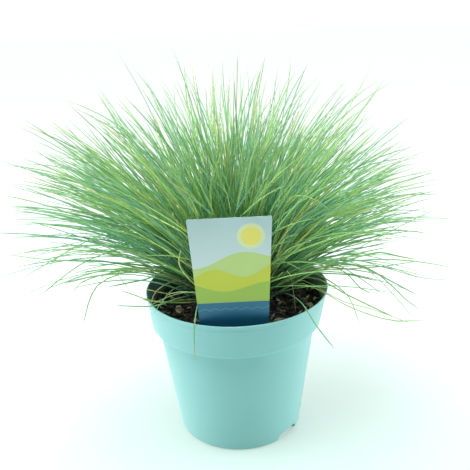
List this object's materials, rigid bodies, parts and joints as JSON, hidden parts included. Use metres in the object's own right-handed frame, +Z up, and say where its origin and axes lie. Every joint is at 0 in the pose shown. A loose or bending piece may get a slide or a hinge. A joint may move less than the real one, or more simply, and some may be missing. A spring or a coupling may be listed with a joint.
{
  "type": "potted blue fescue clump",
  "caption": "Tufted ornamental grass with fine arching leaves in a round plastic nursery pot, with potting mix and a stick-in plant label.",
  "frame": {"origin": "middle of the pot's underside, on the surface it stands on", "axes": "+Z up along the pot's axis; -Y towards the front, where the label stands; +X to the right as seen from the front"},
  "size_m": [0.4189, 0.3302, 0.3598],
  "materials": {
    "pot_plastic": "satin",
    "potting_mix": "matte",
    "leaves": "matte",
    "label_card": "satin"
  },
  "bodies": {
    "root": {"pot": "pot_plastic", "potting_mix": "potting_mix", "grass_clump": "leaves", "plant_label": "label_card"}
  },
  "joints": []
}
